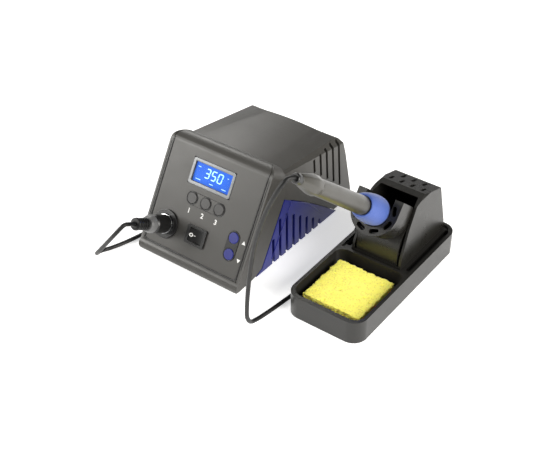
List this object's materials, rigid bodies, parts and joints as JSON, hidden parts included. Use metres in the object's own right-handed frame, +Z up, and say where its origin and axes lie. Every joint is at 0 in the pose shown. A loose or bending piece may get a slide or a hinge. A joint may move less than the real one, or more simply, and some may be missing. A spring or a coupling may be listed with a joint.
{
  "type": "soldering iron station",
  "caption": "Temperature-controlled soldering station with sloped control panel and display, iron on a flexible lead, and a separate holder stand with a cleaning sponge.",
  "frame": {"origin": "table level, under the middle of the station and stand together", "axes": "+X to the object's right, from the control station to the iron's stand; -Y to the front, where the control panel faces; +Z up"},
  "size_m": [0.2723, 0.3071, 0.1931],
  "materials": {
    "housing_plastic": "fine grain",
    "panel_plastic": "fine grain",
    "blue_plastic": "satin",
    "silver_frame": "satin silver paint on plastic",
    "window_glass": "clear, gloss",
    "screen": "backlit",
    "button_plastic": "satin",
    "black_plastic": "satin",
    "circuit_board": "solder mask",
    "chrome_metal": "polished",
    "zinc_steel": "zinc plated",
    "core_steel": "varnished laminations",
    "winding": "lacquered copper wire",
    "aluminium": "extruded",
    "capacitor_sleeve": "shrink sleeve",
    "foot_rubber": "matte",
    "tray_plastic": "fine grain",
    "holder_plastic": "fine grain",
    "sponge_cellulose": "porous",
    "handle_plastic": "satin",
    "grip_rubber": "matte, soft",
    "ceramic": "unglazed ceramic",
    "tip_plating": "iron plated",
    "terminal_board": "laminate",
    "collar_plastic": "satin",
    "lead_rubber": "matte"
  },
  "bodies": {
    "station_and_stand": {"front_bezel": "housing_plastic", "front_panel": "panel_plastic", "top_cover": "housing_plastic", "base_pan": "housing_plastic", "rear_panel": "housing_plastic", "side_panel_left": "blue_plastic", "side_panel_right": "blue_plastic", "lcd_frame": "silver_frame", "lcd_window": "window_glass", "lcd_module": "screen", "arrow_surround": "black_plastic", "control_board": "circuit_board", "tact_switches": "black_plastic", "switch_housing": "black_plastic", "rocker_pin": "zinc_steel", "socket_flange": "black_plastic", "socket_ring": "chrome_metal", "socket_insert": "black_plastic", "transformer_core": "core_steel", "transformer_winding": "winding", "transformer_bracket": "zinc_steel", "power_board": "circuit_board", "heat_sink": "aluminium", "capacitor": "capacitor_sleeve", "mains_inlet": "black_plastic", "station_feet": "foot_rubber", "case_screws": "zinc_steel", "tray_base": "tray_plastic", "holder_hood": "holder_plastic", "holder_cradle": "holder_plastic", "stand_feet": "foot_rubber", "holder_screws": "zinc_steel", "plug_body": "black_plastic", "plug_collar": "collar_plastic", "plug_boot": "lead_rubber", "lead_run": "lead_rubber", "lead_coil": "lead_rubber", "lead_to_plug": "lead_rubber", "coil_tie": "lead_rubber"},
    "iron": {"handle_tube": "handle_plastic", "handle_tail": "handle_plastic", "tail_grommet": "black_plastic", "grip_sleeve": "grip_rubber", "barrel_nut": "zinc_steel", "barrel": "chrome_metal", "heater": "ceramic", "solder_tip": "tip_plating", "heater_terminal": "terminal_board", "lead_drop": "lead_rubber"},
    "sponge_body": {"sponge": "sponge_cellulose"},
    "button_1_body": {"button_1": "button_plastic"},
    "button_2_body": {"button_2": "button_plastic"},
    "button_3_body": {"button_3": "button_plastic"},
    "button_up_body": {"button_up": "blue_plastic"},
    "button_down_body": {"button_down": "blue_plastic"},
    "power_rocker_body": {"power_rocker": "black_plastic"},
    "fuse_drawer_body": {"fuse_drawer": "black_plastic"}
  },
  "joints": [
    {"name": "iron_slide", "type": "slide", "parent": "station_and_stand", "child": "iron", "axis": [0, -0.7638, 0.6455], "range_m": [0, 0.1], "deforming": ["lead_drop"]},
    {"name": "sponge_lift", "type": "slide", "parent": "station_and_stand", "child": "sponge_body", "axis": [0, 0, 1], "range_m": [0, 0.04]},
    {"name": "button_1_press", "type": "slide", "parent": "station_and_stand", "child": "button_1_body", "axis": [0, 0.859, -0.512], "range_m": [0, 0.0008], "stiffness_N_per_m": 1500},
    {"name": "button_2_press", "type": "slide", "parent": "station_and_stand", "child": "button_2_body", "axis": [0, 0.859, -0.512], "range_m": [0, 0.0008], "stiffness_N_per_m": 1500},
    {"name": "button_3_press", "type": "slide", "parent": "station_and_stand", "child": "button_3_body", "axis": [0, 0.859, -0.512], "range_m": [0, 0.0008], "stiffness_N_per_m": 1500},
    {"name": "button_up_press", "type": "slide", "parent": "station_and_stand", "child": "button_up_body", "axis": [0, 0.859, -0.512], "range_m": [0, 0.0008], "stiffness_N_per_m": 1500},
    {"name": "button_down_press", "type": "slide", "parent": "station_and_stand", "child": "button_down_body", "axis": [0, 0.859, -0.512], "range_m": [0, 0.0008], "stiffness_N_per_m": 1500},
    {"name": "power_switch", "type": "hinge", "parent": "station_and_stand", "child": "power_rocker_body", "pos_m": [-0.0635, -0.06066, 0.03114], "axis": [0, 0.512, 0.859], "range_deg": [-24, 0]},
    {"name": "fuse_drawer_slide", "type": "slide", "parent": "station_and_stand", "child": "fuse_drawer_body", "axis": [0, 0.9871, 0.1599], "range_m": [0, 0.012]}
  ]
}
